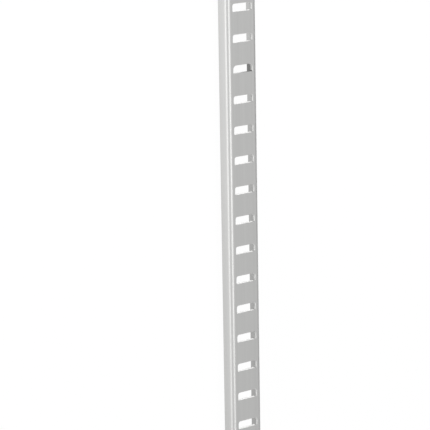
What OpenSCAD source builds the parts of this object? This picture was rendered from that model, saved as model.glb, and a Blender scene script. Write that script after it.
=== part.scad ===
// Slotted shelf pilaster strip: one length of roll formed sheet, a shallow channel with a row of slots.
// Millimetres. The strip lies on its two flange edges, slots up, length along Y, origin under its middle.

/* [Stock] */
// Cut length of the strip
strip_length = 609.6; // [304.8:12.7:1828.8]
// Width over the outside of the two flanges
strip_width = 15.9; // [14:0.1:30]
// Depth from the flange edges to the slotted face
strip_depth = 5.8; // [4.6:0.1:12]
// Thickness of the sheet
sheet_thickness = 1.2; // [0.8:0.1:1.6]
// Outside radius of the two long bends
bend_radius = 2.3; // [1.8:0.1:2.8]

/* [Slots] */
// Distance from one slot to the next
slot_pitch = 12.7; // [8:0.1:50.8]
// Width of a slot across the strip
slot_width = 9.9; // [5:0.1:9.9]
// Height of a slot along the strip
slot_height = 3.2; // [3.1:0.1:6.4]
// Radius of a slot's two upper corners
slot_upper_radius = 0.9; // [0.3:0.05:1.4]
// Radius of a slot's two lower corners
slot_lower_radius = 0.4; // [0.1:0.05:0.7]

/* [Wide-cornered slot] */
// Place of the slot with the wider upper corners, counted from the middle of the strip
wide_slot_place = 4; // [-11:1:11]
// Radius of that slot's two upper corners
wide_slot_radius = 1.6; // [0.8:0.05:1.8]

/* [Hidden] */
overcut = 1;
smooth = 48;
metal_tone = [0.72, 0.72, 0.71];

inner_radius = bend_radius - sheet_thickness;
slot_count = floor(strip_length / slot_pitch + 0.01);
first_slot_y = -(slot_count - 1) / 2 * slot_pitch;
wide_slot_number = floor(slot_count / 2) + wide_slot_place;

// Rectangle from y = 0 upwards, centred in x, with its two upper corners rounded
module round_topped(width, height, radius) {
    translate([-width / 2, 0])
        square([width, height - radius]);
    translate([radius - width / 2, 0])
        square([width - 2 * radius, height]);
    for (side = [-1, 1])
        translate([side * (width / 2 - radius), height - radius])
            circle(r = radius, $fn = smooth);
}

// Section of the channel in x and y, open at the bottom
module channel_section() {
    difference() {
        round_topped(strip_width, strip_depth, bend_radius);
        translate([0, -overcut])
            round_topped(
                strip_width - 2 * sheet_thickness,
                strip_depth - sheet_thickness + overcut,
                inner_radius
            );
    }
}

// Outline of one slot about its own middle, its upper corners rounded more than its lower ones
module slot_outline(upper_radius) {
    foot = slot_height / 4;
    translate([0, -foot]) {
        round_topped(slot_width, slot_height - foot, upper_radius);
        mirror([0, 1])
            round_topped(slot_width, foot, slot_lower_radius);
    }
}

// Punch that cuts one slot down through the web
module slot_punch(upper_radius) {
    translate([0, 0, strip_depth - bend_radius])
        linear_extrude(height = bend_radius + overcut)
            slot_outline(upper_radius);
}

module strip() {
    color(metal_tone)
        difference() {
            translate([0, strip_length / 2, 0])
                rotate([90, 0, 0])
                    linear_extrude(height = strip_length)
                        channel_section();
            for (number = [0:slot_count - 1])
                translate([0, first_slot_y + number * slot_pitch, 0])
                    slot_punch(number == wide_slot_number ? wide_slot_radius : slot_upper_radius);
        }
}

strip();
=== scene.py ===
import math
import bpy
from mathutils import Matrix, Vector


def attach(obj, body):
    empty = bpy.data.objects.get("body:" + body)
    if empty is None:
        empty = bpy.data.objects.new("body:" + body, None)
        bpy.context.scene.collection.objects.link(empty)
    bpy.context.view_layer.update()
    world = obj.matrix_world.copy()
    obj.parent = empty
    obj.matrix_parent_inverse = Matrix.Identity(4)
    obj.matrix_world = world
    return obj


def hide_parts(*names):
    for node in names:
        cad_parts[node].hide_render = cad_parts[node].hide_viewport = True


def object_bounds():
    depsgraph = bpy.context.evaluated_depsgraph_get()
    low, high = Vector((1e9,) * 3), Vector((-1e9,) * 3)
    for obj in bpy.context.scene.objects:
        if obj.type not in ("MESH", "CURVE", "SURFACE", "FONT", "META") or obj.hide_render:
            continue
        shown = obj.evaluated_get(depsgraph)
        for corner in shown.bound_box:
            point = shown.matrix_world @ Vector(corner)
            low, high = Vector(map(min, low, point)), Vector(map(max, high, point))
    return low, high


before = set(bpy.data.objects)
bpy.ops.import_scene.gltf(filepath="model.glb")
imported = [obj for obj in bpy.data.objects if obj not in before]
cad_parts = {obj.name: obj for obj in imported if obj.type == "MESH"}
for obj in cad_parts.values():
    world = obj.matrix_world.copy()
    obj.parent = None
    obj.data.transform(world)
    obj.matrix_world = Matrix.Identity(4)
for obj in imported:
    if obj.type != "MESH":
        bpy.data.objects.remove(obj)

cad_lo, cad_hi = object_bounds()
scene = bpy.context.scene
MM = 0.001

# The strip lies slots up. x goes to its right, y to its head, which is its top end on a wall, and z up.
# Sizes are in millimetres. The outer ones are the frame's, and the others are the part's own.
WIDTH, LENGTH, DEPTH = (round((high - low) / MM, 3) for low, high in zip(cad_lo, cad_hi))
SHEET = 1.2
BEND = 2.3
PITCH = 12.7
SLOT_WIDTH = 9.9
SLOT_HEIGHT = 3.2
UPPER_CORNER = 0.9
LOWER_CORNER = 0.4
WIDE_CORNER = 1.6
SLOTS = int(LENGTH / PITCH + 0.01)
WIDE_SLOT = SLOTS // 2 + 4
WIDE_SLOT_Y = (WIDE_SLOT + 0.5) * PITCH - LENGTH / 2

# The punch draws a slot's edge down by ROLL and back by as much, but hardly back at the lower edge
ROLL = 0.2
ROLL_LOW = 0.04
# A stretch of that edge whose outward direction has less than this in y is the lower one, which shows the cut
LOWER_SIDE = -0.75

# Flat steps in a quarter turn of each round stretch
BEND_STEPS = 16
CORNER_STEPS = 6
ROLL_STEPS = 4

# Finishes, in the order of the mesh's materials
ROLLED, SHEARED, INSIDE = range(3)

# Camera. It aims at a point in the slotted face's plane, turned from straight above to the left and the head
AIM = (-15.85, -1.98, DEPTH)
CAMERA_DISTANCE = 936.66
CAMERA_LEFT = 38.082
CAMERA_HEAD = 13.04
CAMERA_ROLL = -0.995
LENS = 190.6
SENSOR = 36.0
CLIP_NEAR, CLIP_FAR = 0.05, 20.0

# World. A level of 1 shows as white. A pair in brackets says where a change starts and where it ends, in the
# x, y or z of a direction whose length is 1.
SKY_FOOT, SKY_HEAD = 0.595, 0.81
SKY_REACH = (-0.7, 0.3)
# A darker patch low on the right, for the dark rim of the right bend. It fades out upwards, to the left,
# towards the head and, as far as PATCH_FOOT_OPEN says, towards the foot.
PATCH_LEVEL = 0.22
PATCH_TOP = (0.15, 0.5)
PATCH_LEFT = (-0.2, 0.2)
PATCH_HEAD = (0.1, 0.5)
PATCH_FOOT = (-0.15, -0.4)
PATCH_FOOT_OPEN = 0.8
# A lighter part on the left towards the foot, for the line between the left bend's two highlights
FILL = 0.2
FILL_LEFT = (-0.4, -0.6)
FILL_FOOT = (-0.08, -0.32)

# Soft boxes parallel to the strip: degrees up from the left horizon, then width, length and y in metres
BOXES = {"left_box": (3, 0.6, 2.2, 0.5), "top_box": (74, 0.62, 1.0, -0.15)}
BOX_DISTANCE = 1.4
BOX_LEVEL = 1.03
# A third one beyond the head, for the sheared walls that face it
HEAD_BOX_PLACE = (0.1, 1.4, 0.85)
HEAD_BOX_SIZE = (1.2, 0.8)
HEAD_BOX_LEVEL = 6.0

# Floor in metres, just below the flange edges so that the two surfaces don't coincide
FLOOR_HALF = 3.0
FLOOR_Z = -0.00005
FLOOR_GREY = 0.92
# How much of it is plain white. The rest takes light and keeps the strip's shadow. Under the strip nearly all
# of it is white, which paints out the shade there.
WHITE_UNDER, WHITE_OPEN = 0.99, 0.9
# Level that the metal sees of it, a painted glow that rises towards the head, more so under the strip, and to
# the left, where it is a painted pool of light, with a little painted shade from beside the left flange
# onwards
FLOOR_FOOT, FLOOR_HEAD = 0.768, 1.05
FLOOR_REACH = (-0.16, 0.16)
UNDER_GAIN = 0.2
UNDER_REACH = (0.0, 0.1)
POOL = 1.4
POOL_REACH = (-0.05, -0.009)
BESIDE = 0.96
BESIDE_REACH = (-0.013, -0.008)
# Blend between the floor under the strip and beside it, in millimetres
RIM = 0.5

# Rolled face: scale of each noise across and along the sheet, its detail, roughness and shift
ROLLED_NOISE = {
    "grain": (9000, 60, 3.0, 0.6, 0.0),
    "streak": (900, 9, 2.0, 0.5, 3.1),
    "band": (420, 2.5, 1.0, 0.5, 5.3),
    "cloud": (70, 35, 3.0, 0.55, 7.7),
}
# Shift along the sheet for each unit of shift across it
SHIFT_ALONG = 1.7
# How far each noise changes the tone, and two of them the roughness and one the height in metres
ROLLED_TONE = {"grain": 0.10, "streak": 0.07, "band": 0.10, "cloud": 0.05}
CLOUD_ROUGH = 0.10
GRAIN_ROUGH = 0.08
GRAIN_BUMP = 0.12
GRAIN_HEIGHT = 0.00002
ROLLED_GREY = (0.68, 0.68, 0.67184)
ROLLED_ROUGH = 0.33
# Painted highlight added to the drawn-over slot edges
EDGE_HIGHLIGHT = 0.25

# Inside of the channel. Its grey is darker than the outside's, as painted shade.
INSIDE_NOISE = (400, 60, 4.0, 0.6)
INSIDE_TONE = 0.12
INSIDE_GREY = (0.51, 0.51, 0.50388)
INSIDE_ROUGH = 0.42
# A darker patch in it beside the wide-cornered slot, in millimetres: how far below the slot's middle, half of
# its length, where it starts in x and how far its outline wanders
INSIDE_DARK_PATCH = 0.4
INSIDE_DARK_PATCH_BELOW = 1.3
INSIDE_DARK_PATCH_HALF = (2.9, 3.4)
INSIDE_DARK_PATCH_FROM = (3.5, 4.5)
INSIDE_DARK_PATCH_WOBBLE = 0.8

# Sheared walls and ends
SHEARED_NOISE = (6000, 900, 3.0, 0.6)
SHEARED_TONE = 0.12
SHEARED_GREY = (0.9, 0.9, 0.891)
SHEARED_ROUGH = 0.5
SHEARED_METAL = 0.1
# Tones of a slot's end walls, torn below and smooth above, both darkened as painted shade on these
# sideways-facing walls, and the change in millimetres above the underside
TORN_SHADE, SMOOTH_SHADE = 0.7, 0.82
TORN_SHADE_REACH = (0.35, 0.75)
# Tones of the strip's two cut ends, darkened as painted shade against the lamps, the head end most as it
# faces the head box, and how far from an end still counts as the end, in millimetres
HEAD_END, FOOT_END = 0.42, 0.6
END_MARGIN = 0.01
# A darker patch on the lower wall of the wide-cornered slot, which grows darker to the right, in millimetres
WALL_DARK_PATCH = (0.7, 0.2)
WALL_DARK_PATCH_X = (-3.0, 2.0)
WALL_DARK_PATCH_OFF = (0.2, 0.4)
# Width that each face round a slot's wall takes in the sheet coordinates, in millimetres
WALL_STEP = 0.3

# Painted shade in each slot's lower right corner, in millimetres. Its distance from the end wall changes from
# foot to head, all within CORNER_SHADE_SPAN of the strip's middle. A spot is CORNER_SHADE_FLAT times as wide
# as it is high.
CORNER_SHADE = 0.4
CORNER_SHADE_FOOT, CORNER_SHADE_HEAD = 0.5, 0.1
CORNER_SHADE_SPAN = 100.0
CORNER_SHADE_SIZE = (0.2, 0.6)
CORNER_SHADE_FLAT = 2.0


class Graph:
    """Short calls for making and joining the nodes of an emptied tree."""

    def __init__(self, tree):
        self.tree = tree
        tree.nodes.clear()

    def node(self, kind, inputs=None, **settings):
        node = self.tree.nodes.new(kind)
        for key, value in settings.items():
            setattr(node, key, value)
        for key, value in (inputs or {}).items():
            if isinstance(value, bpy.types.NodeSocket):
                self.tree.links.new(value, node.inputs[key])
            else:
                node.inputs[key].default_value = value
        return node

    def math(self, operation, *values):
        return self.node("ShaderNodeMath", dict(enumerate(values)), operation=operation).outputs[0]

    def xyz(self, vector):
        return self.node("ShaderNodeSeparateXYZ", {0: vector}).outputs

    def ramp(self, value, low, high, start, end, kind="SMOOTHSTEP"):
        """Start where the value is at low, end where it is at high."""
        sockets = {"Value": value, "From Min": low, "From Max": high, "To Min": start, "To Max": end}
        return self.node("ShaderNodeMapRange", sockets, interpolation_type=kind).outputs[0]

    def vary(self, value, noise, amount):
        """The value with a noise added, about the noise's middle."""
        return self.math("MULTIPLY_ADD", self.math("SUBTRACT", noise, 0.5), amount, value)

    def fade(self, value, mask, factor):
        """The value where the mask is 0, and factor times the value where the mask is 1."""
        change = self.math("SUBTRACT", factor, 1.0)
        return self.math("MULTIPLY", value, self.math("MULTIPLY_ADD", mask, change, 1.0))

    def noise(self, across, along, detail, rough, shift=0.0):
        """Noise that follows the sheet, with its scale across and along it."""
        sheet = self.node("ShaderNodeUVMap", uv_map="sheet").outputs[0]
        sockets = {0: sheet, "Location": (shift, shift * SHIFT_ALONG, 0), "Scale": (across, along, 1)}
        place = self.node("ShaderNodeMapping", sockets).outputs[0]
        sockets = {"Vector": place, "Scale": 1.0, "Detail": detail, "Roughness": rough}
        return self.node("ShaderNodeTexNoise", sockets).outputs[0]

    def place(self):
        """x, y and z of the surface in the strip's own frame, in metres."""
        return self.xyz(self.node("ShaderNodeTexCoord").outputs["Object"])

    def paint(self, grey, tone, sockets):
        """Ends a material with a shader whose colour is the grey times the tone."""
        colour = self.node("ShaderNodeVectorMath", {0: grey, "Scale": tone}, operation="SCALE").outputs[0]
        shader = self.node("ShaderNodeBsdfPrincipled", {"Base Color": colour, **sockets}).outputs[0]
        self.node("ShaderNodeOutputMaterial", {"Surface": shader})


class SheetMesh:
    """Faces with their normals, sheet coordinates, finish and drawn-over edge mark. Corners at the same place
    are shared.
    """

    SAME_DIGITS = 5

    def __init__(self):
        self.index = {}
        self.corners = []
        self.faces = []
        self.normals = []
        self.coords = []
        self.finishes = []
        self.drawn_edges = []

    def corner(self, point):
        key = tuple(round(value, self.SAME_DIGITS) for value in point)
        if key not in self.index:
            self.index[key] = len(self.corners)
            self.corners.append([value * MM for value in point])
        return self.index[key]

    def face(self, points, normals, coords, finish, drawn_edge=0.0):
        """Adds a face without the corners that fall on the one before. Fewer than 3 corners make no face."""
        ids = [self.corner(point) for point in points]
        kept = [i for i in range(len(ids)) if ids[i] != ids[i - 1]]
        if len(kept) < 3:
            return
        self.faces.append([ids[i] for i in kept])
        self.normals.extend(Vector(normals[i]).normalized() for i in kept)
        self.coords.extend([value * MM for value in coords[i]] for i in kept)
        self.finishes.append(finish)
        self.drawn_edges.append(drawn_edge)

    def build(self, name):
        data = bpy.data.meshes.new(name)
        data.from_pydata(self.corners, [], self.faces)
        data.attributes.new("edge", "FLOAT", "FACE").data.foreach_set("value", self.drawn_edges)
        data.polygons.foreach_set("material_index", self.finishes)
        data.polygons.foreach_set("use_smooth", [True] * len(self.faces))
        sheet = data.uv_layers.new(name="sheet")
        for spot, coord in zip(sheet.data, self.coords):
            spot.uv = coord
        data.normals_split_custom_set(self.normals)
        return link(bpy.data.objects.new(name, data))


def link(thing):
    scene.collection.objects.link(thing)
    return thing


def new_material(name):
    material = bpy.data.materials.new(name)
    material.use_nodes = True
    return material, Graph(material.node_tree)


def section_points():
    """The channel's section from the left flange's edge to the right one's.
    Each point has its outer place, its inner place, its normal and its distance along the outside."""
    flange = DEPTH - BEND
    half_web = WIDTH / 2 - BEND
    quarter = BEND * math.pi / 2
    points = []

    def add(x, z, nx, nz, distance):
        points.append(((x, z), (x - nx * SHEET, z - nz * SHEET), (nx, nz), distance))

    add(-WIDTH / 2, 0.0, -1.0, 0.0, 0.0)
    for side, start in ((-1, flange), (1, flange + quarter + 2 * half_web)):
        for step in range(BEND_STEPS + 1):
            turned = math.pi / 2 * step / BEND_STEPS
            tilt = math.pi / 2 - turned if side < 0 else turned
            nx = side * math.sin(tilt)
            nz = math.cos(tilt)
            add(side * half_web + BEND * nx, flange + BEND * nz, nx, nz, start + BEND * turned)
    add(WIDTH / 2, 0.0, 1.0, 0.0, 2 * (flange + quarter + half_web))
    return points


def slot_arcs(upper, grow):
    """The four corner arcs of a slot about its own middle, anticlockwise from its upper right corner.
    Each point comes with its outward direction. The arcs stand back from the cut by grow."""
    arcs = []
    corners = ((1, 1, upper), (-1, 1, upper), (-1, -1, LOWER_CORNER), (1, -1, LOWER_CORNER))
    for number, (side, end, radius) in enumerate(corners):
        middle_x = side * (SLOT_WIDTH / 2 - radius)
        middle_y = end * (SLOT_HEIGHT / 2 - radius)
        arc = []
        for step in range(CORNER_STEPS + 1):
            turned = math.pi / 2 * (number + step / CORNER_STEPS)
            dx = math.cos(turned)
            dy = math.sin(turned)
            back = grow if dy > 0 else grow * ROLL_LOW / ROLL
            arc.append(((middle_x + (radius + grow) * dx, middle_y + (radius + back) * dy), (dx, dy)))
        arcs.append(arc)
    return arcs


def roll_normal(outward, turned):
    """Normal of a slot's drawn-over edge, whose section is a quarter of an ellipse."""
    dx, dy = outward
    back = ROLL if dy > 0 else ROLL * abs(dx) + ROLL_LOW * abs(dy)
    level = -ROLL * math.sin(turned)
    return (dx * level, dy * level, back * math.cos(turned))


def add_channel(mesh, section, y0, y1):
    """One pitch of the channel without its web: the outside, the inside and the two flange edges."""
    # The web is the stretch of the section between the two bends
    web = BEND_STEPS + 1
    for number, (first, second) in enumerate(zip(section, section[1:])):
        if number == web:
            continue
        (outer0, inner0, n0, s0), (outer1, inner1, n1, s1) = first, second
        outside = (outer0, outer1, y0, y1, 1, ROLLED)
        inside = (inner0, inner1, y1, y0, -1, INSIDE)
        for (x0, z0), (x1, z1), start, end, sign, finish in (outside, inside):
            points = [(x0, start, z0), (x1, start, z1), (x1, end, z1), (x0, end, z0)]
            normals = [(sign * nx, 0, sign * nz) for nx, nz in (n0, n1, n1, n0)]
            mesh.face(points, normals, [(s0, start), (s1, start), (s1, end), (s0, end)], finish)
    for (outer, inner, _, s), order in ((section[0], 1), (section[-1], -1)):
        points = [(x, y, z) for (x, z), y in ((outer, y0), (outer, y1), (inner, y1), (inner, y0))]
        coords = [(s, y0), (s, y1), (s + SHEET, y1), (s + SHEET, y0)]
        mesh.face(points[::order], [(0, 0, -1)] * 4, coords[::order], SHEARED)


def add_web(mesh, web_s, y0, y1, upper):
    """The flat web round one slot, above and below: fans from the pitch's four corners to the slot's arcs."""
    half = WIDTH / 2 - BEND
    middle = (y0 + y1) / 2
    corners = [(half, y1), (-half, y1), (-half, y0), (half, y0)]
    for z, order, grow, finish in ((DEPTH, 1, ROLL, ROLLED), (DEPTH - SHEET, -1, 0.0, INSIDE)):
        arcs = [[(x, y + middle) for (x, y), _ in arc] for arc in slot_arcs(upper, grow)]
        for number, (corner, arc) in enumerate(zip(corners, arcs)):
            after = (number + 1) % 4
            fan = [[corner, b, a] for a, b in zip(arc, arc[1:])]
            fan.append([corner, corners[after], arcs[after][0], arc[-1]])
            for blade in fan:
                blade = blade[::order]
                points = [(x, y, z) for x, y in blade]
                coords = [(web_s + x, y) for x, y in blade]
                mesh.face(points, [(0, 0, order)] * len(blade), coords, finish)


def add_slot_edge(mesh, web_s, middle, upper):
    """One slot's drawn-over edge and the sheared wall below it."""
    rings = []
    for step in range(ROLL_STEPS + 1):
        turned = math.pi / 2 * step / ROLL_STEPS
        arcs = slot_arcs(upper, ROLL * (1 - math.sin(turned)))
        ring = [((x, y + middle), outward) for arc in arcs for (x, y), outward in arc]
        rings.append((ring + ring[:1], DEPTH - ROLL + ROLL * math.cos(turned), turned))
    for (ring, z, turned), (next_ring, next_z, next_turned) in zip(rings, rings[1:]):
        for first, second, third, fourth in zip(ring, ring[1:], next_ring[1:], next_ring):
            around = (first, second, third, fourth)
            heights = (z, z, next_z, next_z)
            turns = (turned, turned, next_turned, next_turned)
            points = [(*place, height) for (place, _), height in zip(around, heights)]
            normals = [roll_normal(outward, turn) for (_, outward), turn in zip(around, turns)]
            coords = [(web_s + x, y) for (x, y), _ in around]
            out_y = (first[1][1] + second[1][1]) / 2
            mesh.face(points, normals, coords, SHEARED if out_y < LOWER_SIDE else ROLLED, drawn_edge=1.0)
    ring, top, _ = rings[-1]
    bottom = DEPTH - SHEET
    for number, (((x0, y0), (dx0, dy0)), ((x1, y1), (dx1, dy1))) in enumerate(zip(ring, ring[1:])):
        points = [(x0, y0, top), (x1, y1, top), (x1, y1, bottom), (x0, y0, bottom)]
        normals = [(-dx0, -dy0, 0), (-dx1, -dy1, 0), (-dx1, -dy1, 0), (-dx0, -dy0, 0)]
        u0 = number * WALL_STEP
        u1 = u0 + WALL_STEP
        mesh.face(points, normals, [(u0, top), (u1, top), (u1, bottom), (u0, bottom)], SHEARED)


def add_ends(mesh, section):
    """The strip's two cut ends."""
    for y, facing in ((-LENGTH / 2, -1), (LENGTH / 2, 1)):
        for (outer0, inner0, _, s0), (outer1, inner1, _, s1) in zip(section, section[1:]):
            points = [(x, y, z) for x, z in (outer0, inner0, inner1, outer1)]
            coords = [(s0, 0), (s0, SHEET), (s1, SHEET), (s1, 0)]
            mesh.face(points[::-facing], [(0, facing, 0)] * 4, coords[::-facing], SHEARED)


def make_strip():
    """The whole strip as one closed mesh."""
    mesh = SheetMesh()
    section = section_points()
    web_s = section[-1][3] / 2
    for number in range(SLOTS):
        y0 = number * PITCH - LENGTH / 2
        y1 = (number + 1) * PITCH - LENGTH / 2
        upper = WIDE_CORNER if number == WIDE_SLOT else UPPER_CORNER
        add_channel(mesh, section, y0, y1)
        add_web(mesh, web_s, y0, y1, upper)
        add_slot_edge(mesh, web_s, (y0 + y1) / 2, upper)
    add_ends(mesh, section)
    return mesh.build("strip_sheet")


def make_camera():
    """A camera that looks down on the slotted face, from its left and its head."""
    data = bpy.data.cameras.new("camera")
    data.sensor_width = SENSOR
    data.lens = LENS
    data.clip_start = CLIP_NEAR
    data.clip_end = CLIP_FAR
    turn = Matrix.Rotation(math.radians(-CAMERA_LEFT), 4, "Y")
    turn = turn @ Matrix.Rotation(math.radians(-CAMERA_HEAD), 4, "X")
    turn = turn @ Matrix.Rotation(math.radians(CAMERA_ROLL), 4, "Z")
    back = Matrix.Translation((0, 0, CAMERA_DISTANCE * MM))
    scene.camera = link(bpy.data.objects.new("camera", data))
    scene.camera.matrix_world = Matrix.Translation(Vector(AIM) * MM) @ turn @ back


def make_floor():
    """A pale floor that shows white and keeps the strip's shadow beside it, hardly under it. The metal sees
    it as a painted glow at a level of its own.
    """
    data = bpy.data.meshes.new("floor")
    corners = [(x * FLOOR_HALF, y * FLOOR_HALF, FLOOR_Z) for x, y in ((-1, -1), (1, -1), (1, 1), (-1, 1))]
    data.from_pydata(corners, [], [(0, 1, 2, 3)])
    material, g = new_material("floor_white")
    rays = g.node("ShaderNodeLightPath").outputs
    x, y, _ = g.xyz(g.node("ShaderNodeNewGeometry").outputs["Position"])
    side = g.math("ABSOLUTE", x)

    # Painted glow seen in the metal: light to the head and under the strip, a pool to the left, shade beside
    level = g.ramp(y, *FLOOR_REACH, FLOOR_FOOT, FLOOR_HEAD, "LINEAR")
    level = g.math("MULTIPLY", level, g.ramp(x, *POOL_REACH, POOL, 1.0))
    level = g.math("MULTIPLY", level, g.ramp(x, *BESIDE_REACH, 1.0, BESIDE))
    under = g.ramp(side, (WIDTH / 2 - RIM) * MM, (WIDTH / 2 + RIM) * MM, 1.0, 0.0)
    under = g.math("MULTIPLY", under, g.ramp(y, *UNDER_REACH, 0.0, UNDER_GAIN))
    level = g.math("MULTIPLY", level, g.math("ADD", under, 1.0))
    to_white = g.math("SUBTRACT", 1.0, level)
    level = g.math("MULTIPLY_ADD", rays["Is Camera Ray"], to_white, level)

    seen = g.math("MAXIMUM", rays["Is Camera Ray"], rays["Is Glossy Ray"])
    seen = g.math("MAXIMUM", seen, rays["Is Transmission Ray"])
    beside = g.ramp(side, WIDTH / 2 * MM, (WIDTH / 2 + RIM) * MM, 0.0, 1.0)
    past_end = g.math("GREATER_THAN", g.math("ABSOLUTE", y), LENGTH / 2 * MM)
    in_open = g.math("MAXIMUM", beside, past_end)
    white = g.math("MULTIPLY_ADD", in_open, WHITE_OPEN - WHITE_UNDER, WHITE_UNDER)

    matte = g.node("ShaderNodeBsdfDiffuse", {"Color": (FLOOR_GREY, FLOOR_GREY, FLOOR_GREY, 1)}).outputs[0]
    glow = g.node("ShaderNodeEmission", {"Strength": level}).outputs[0]
    mix = g.node("ShaderNodeMixShader", {0: g.math("MULTIPLY", seen, white), 1: matte, 2: glow})
    g.node("ShaderNodeOutputMaterial", {"Surface": mix.outputs[0]})
    data.materials.append(material)
    floor = link(bpy.data.objects.new("floor", data))


def new_box(name, size, level):
    """A soft box of this width and length, whose face shows this level."""
    light = bpy.data.lights.new(name, "AREA")
    light.shape = "RECTANGLE"
    light.size, light.size_y = size
    light.energy = level * math.pi * size[0] * size[1]
    return link(bpy.data.objects.new(name, light))


def make_long_box(name, angle, width, length, y):
    """A soft box parallel to the strip. Its angle goes from the left horizon over the top, which is 90."""
    box = new_box(name, (width, length), BOX_LEVEL)
    turned = math.radians(angle)
    away = Vector((-math.cos(turned), 0, math.sin(turned)))
    along = Vector((0, 1, 0))
    axes = Matrix((along.cross(away), along, away)).transposed().to_4x4()
    box.matrix_world = Matrix.Translation(away * BOX_DISTANCE + along * y) @ axes


def make_head_box():
    """A soft box beyond the head, for the sheared walls. It doesn't show in the metal."""
    box = new_box("head_box", HEAD_BOX_SIZE, HEAD_BOX_LEVEL)
    box.visible_glossy = False
    box.location = HEAD_BOX_PLACE
    box.rotation_mode = "QUATERNION"
    box.rotation_quaternion = (-box.location).to_track_quat("-Z", "Y")


def make_world():
    """A plain studio round the strip, brighter to the head, with a darker patch low on the right."""
    scene.world = bpy.data.worlds.new("world")
    scene.world.use_nodes = True
    g = Graph(scene.world.node_tree)
    x, y, z = g.xyz(g.node("ShaderNodeTexCoord").outputs["Generated"])
    lit = g.math("MAXIMUM", g.ramp(z, *PATCH_TOP, 0.0, 1.0), g.ramp(x, *PATCH_LEFT, 1.0, 0.0))
    lit = g.math("MAXIMUM", lit, g.ramp(y, *PATCH_HEAD, 0.0, 1.0))
    lit = g.math("MAXIMUM", lit, g.ramp(y, *PATCH_FOOT, 0.0, PATCH_FOOT_OPEN))
    lit = g.math("MULTIPLY_ADD", lit, 1 - PATCH_LEVEL, PATCH_LEVEL)
    fill = g.math("MULTIPLY", g.ramp(x, *FILL_LEFT, 0.0, FILL), g.ramp(y, *FILL_FOOT, 0.0, 1.0))
    level = g.ramp(y, *SKY_REACH, SKY_FOOT, SKY_HEAD)
    level = g.math("MULTIPLY", level, g.math("ADD", fill, 1.0))
    level = g.math("MULTIPLY", level, lit)
    sky = g.node("ShaderNodeBackground", {"Color": (1, 1, 1, 1), "Strength": level}).outputs[0]
    g.node("ShaderNodeOutputWorld", {"Surface": sky})


def corner_shade_mask(g):
    """1 in the lower right corner of every slot, where shade is painted, and 0 away from it."""
    x, y, _ = g.place()
    from_foot = (SLOT_WIDTH / 2 - CORNER_SHADE_FOOT) * MM
    from_head = (SLOT_WIDTH / 2 - CORNER_SHADE_HEAD) * MM
    across = g.math("SUBTRACT", x, g.ramp(y, -CORNER_SHADE_SPAN * MM, CORNER_SHADE_SPAN * MM, from_foot, from_head))
    in_pitch = g.math("FLOORED_MODULO", g.math("ADD", y, LENGTH / 2 * MM), PITCH * MM)
    up = g.math("SUBTRACT", in_pitch, (PITCH - SLOT_HEIGHT) / 2 * MM)
    up = g.math("MULTIPLY", up, CORNER_SHADE_FLAT)
    off = g.math("ADD", g.math("MULTIPLY", across, across), g.math("MULTIPLY", up, up))
    near, far = CORNER_SHADE_SIZE
    return g.ramp(g.math("SQRT", off), near * MM, far * MM, 1.0, 0.0)


def make_rolled():
    """The rolled face: fine grain along the strip, faint streaks and clouds, a painted highlight on its
    drawn-over slot edges and painted shade in their lower right corners.
    """
    material, g = new_material("sheet_metal")
    noise = {name: g.noise(*scale) for name, scale in ROLLED_NOISE.items()}
    tone = 1.0
    for name, amount in ROLLED_TONE.items():
        tone = g.vary(tone, noise[name], amount)
    drawn_edge = g.node("ShaderNodeAttribute", attribute_name="edge").outputs["Fac"]
    # Painted highlight on the drawn-over slot edges
    tone = g.math("MULTIPLY_ADD", drawn_edge, EDGE_HIGHLIGHT, tone)
    # Painted shade in each slot's lower right corner, on the drawn-over edge
    tone = g.fade(tone, g.math("MULTIPLY", corner_shade_mask(g), drawn_edge), CORNER_SHADE)
    rough = g.vary(ROLLED_ROUGH, noise["cloud"], CLOUD_ROUGH)
    rough = g.vary(rough, noise["grain"], GRAIN_ROUGH)
    sockets = {"Strength": GRAIN_BUMP, "Distance": GRAIN_HEIGHT, "Height": noise["grain"]}
    bump = g.node("ShaderNodeBump", sockets).outputs[0]
    g.paint(ROLLED_GREY, tone, {"Metallic": 1.0, "Roughness": rough, "Normal": bump})
    return material


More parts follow.
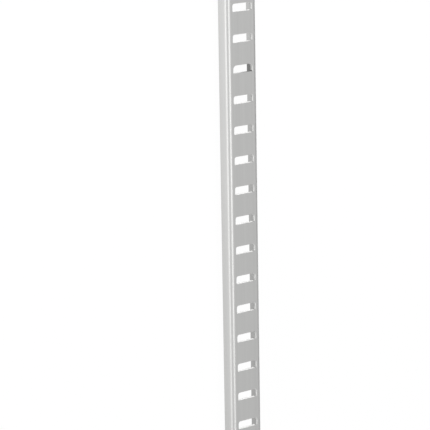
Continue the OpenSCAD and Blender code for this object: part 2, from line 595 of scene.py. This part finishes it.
def make_inside():
    """The inside of the channel, duller than the outside and in a darker grey as painted shade, with a darker
    patch beside the wide-cornered slot.
    """
    material, g = new_material("inner_face")
    noise = g.noise(*INSIDE_NOISE)
    x, y, _ = g.place()
    off = g.math("SUBTRACT", g.vary(y, noise, INSIDE_DARK_PATCH_WOBBLE * MM), (WIDE_SLOT_Y - INSIDE_DARK_PATCH_BELOW) * MM)
    near, far = INSIDE_DARK_PATCH_HALF
    dark_patch = g.ramp(g.math("ABSOLUTE", off), near * MM, far * MM, 1.0, 0.0)
    start, full = INSIDE_DARK_PATCH_FROM
    dark_patch = g.math("MULTIPLY", dark_patch, g.ramp(x, start * MM, full * MM, 0.0, 1.0))
    tone = g.fade(g.vary(1.0, noise, INSIDE_TONE), dark_patch, INSIDE_DARK_PATCH)
    rough = g.vary(INSIDE_ROUGH, noise, INSIDE_TONE)
    # Darker grey than the outside: painted shade
    g.paint(INSIDE_GREY, tone, {"Metallic": 1.0, "Roughness": rough})
    return material


def make_sheared():
    """Cut walls and ends: smooth where the punch went in, duller below it where the sheet broke. The end
    walls, the strip's ends and each slot's lower right corner carry painted shade.
    """
    material, g = new_material("cut_edge")
    x, y, z = g.place()
    tone = g.vary(1.0, g.noise(*SHEARED_NOISE), SHEARED_TONE)

    wall_y = (WIDE_SLOT_Y - SLOT_HEIGHT / 2) * MM
    near, far = WALL_DARK_PATCH_OFF
    dark_patch = g.ramp(g.math("ABSOLUTE", g.math("SUBTRACT", y, wall_y)), near * MM, far * MM, 1.0, 0.0)
    left, right = WALL_DARK_PATCH_X
    tone = g.fade(tone, dark_patch, g.ramp(x, left * MM, right * MM, *WALL_DARK_PATCH))
    # Painted shade in each slot's lower right corner
    tone = g.fade(tone, corner_shade_mask(g), CORNER_SHADE)

    # Painted shade on the strip's two cut ends
    for sign, end_tone in ((1.0, HEAD_END), (-1.0, FOOT_END)):
        at_end = g.math("GREATER_THAN", g.math("MULTIPLY", y, sign), (LENGTH / 2 - END_MARGIN) * MM)
        tone = g.fade(tone, at_end, end_tone)

    # Painted shade on the end walls, deeper on their torn lower part
    low, high = TORN_SHADE_REACH
    underside = DEPTH - SHEET
    end_wall_shade = g.ramp(z, (underside + low) * MM, (underside + high) * MM, TORN_SHADE, SMOOTH_SHADE)
    facing_x, _, _ = g.xyz(g.node("ShaderNodeNewGeometry").outputs["Normal"])
    tone = g.fade(tone, g.math("ABSOLUTE", facing_x), end_wall_shade)
    g.paint(SHEARED_GREY, tone, {"Metallic": SHEARED_METAL, "Roughness": SHEARED_ROUGH})
    return material


scene.view_settings.view_transform = "Standard"
make_camera()
make_floor()
make_world()
for name, values in BOXES.items():
    make_long_box(name, *values)
make_head_box()

strip = make_strip()
for make in (make_rolled, make_sheared, make_inside):
    strip.data.materials.append(make())
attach(strip, "root")
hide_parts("strip")
